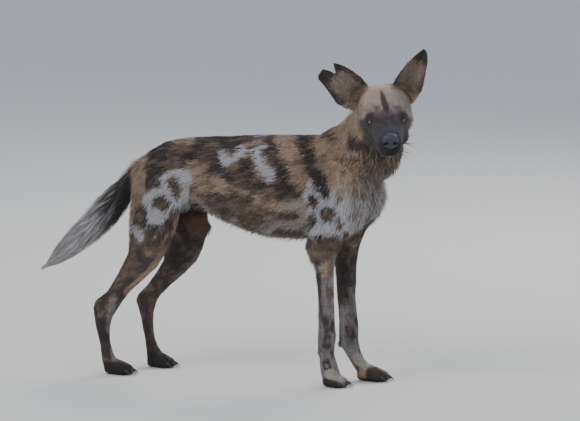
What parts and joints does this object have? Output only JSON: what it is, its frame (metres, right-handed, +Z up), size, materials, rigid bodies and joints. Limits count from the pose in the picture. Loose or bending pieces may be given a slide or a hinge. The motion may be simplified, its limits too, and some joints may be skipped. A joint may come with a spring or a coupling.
{
  "type": "african wild dog, life-size standing model",
  "caption": "Life-size still model of an african wild dog that stands on its four paws with the head turned to its right.",
  "frame": {"origin": "on the floor under the middle of the model's box", "axes": "+X towards the chest, +Y towards the animal's left, +Z up"},
  "size_m": [1.1128, 0.3444, 0.9152],
  "materials": {
    "coat": "short coarse coat, blotched black, tan and white",
    "ruff": "shaggy brown throat hair",
    "tail_hair": "long greyish white brush",
    "face": "very short dark and tan hair",
    "ear": "dark thin hair outside, pale hair in the cup",
    "nose": "bare moist nose pad",
    "eye": "amber iris and dark pupil under a wet cornea",
    "claw": "worn dark horn"
  },
  "bodies": {
    "root": {"torso": "coat", "neck": "ruff", "head": "face", "nose": "nose", "tail_root": "coat", "tail_brush": "tail_hair", "sheath": "coat", "ear_left": "ear", "eye_left": "eye", "foreleg_left": "coat", "forepaw_left": "coat", "hind_shank_left": "coat", "hind_cannon_left": "coat", "hind_paw_left": "coat", "claw_fore_left_1": "claw", "claw_fore_left_2": "claw", "claw_fore_left_3": "claw", "claw_fore_left_4": "claw", "claw_hind_left_1": "claw", "claw_hind_left_2": "claw", "claw_hind_left_3": "claw", "claw_hind_left_4": "claw", "ear_right": "ear", "eye_right": "eye", "foreleg_right": "coat", "forepaw_right": "coat", "hind_shank_right": "coat", "hind_cannon_right": "coat", "hind_paw_right": "coat", "claw_fore_right_1": "claw", "claw_fore_right_2": "claw", "claw_fore_right_3": "claw", "claw_fore_right_4": "claw", "claw_hind_right_1": "claw", "claw_hind_right_2": "claw", "claw_hind_right_3": "claw", "claw_hind_right_4": "claw"}
  },
  "joints": []
}
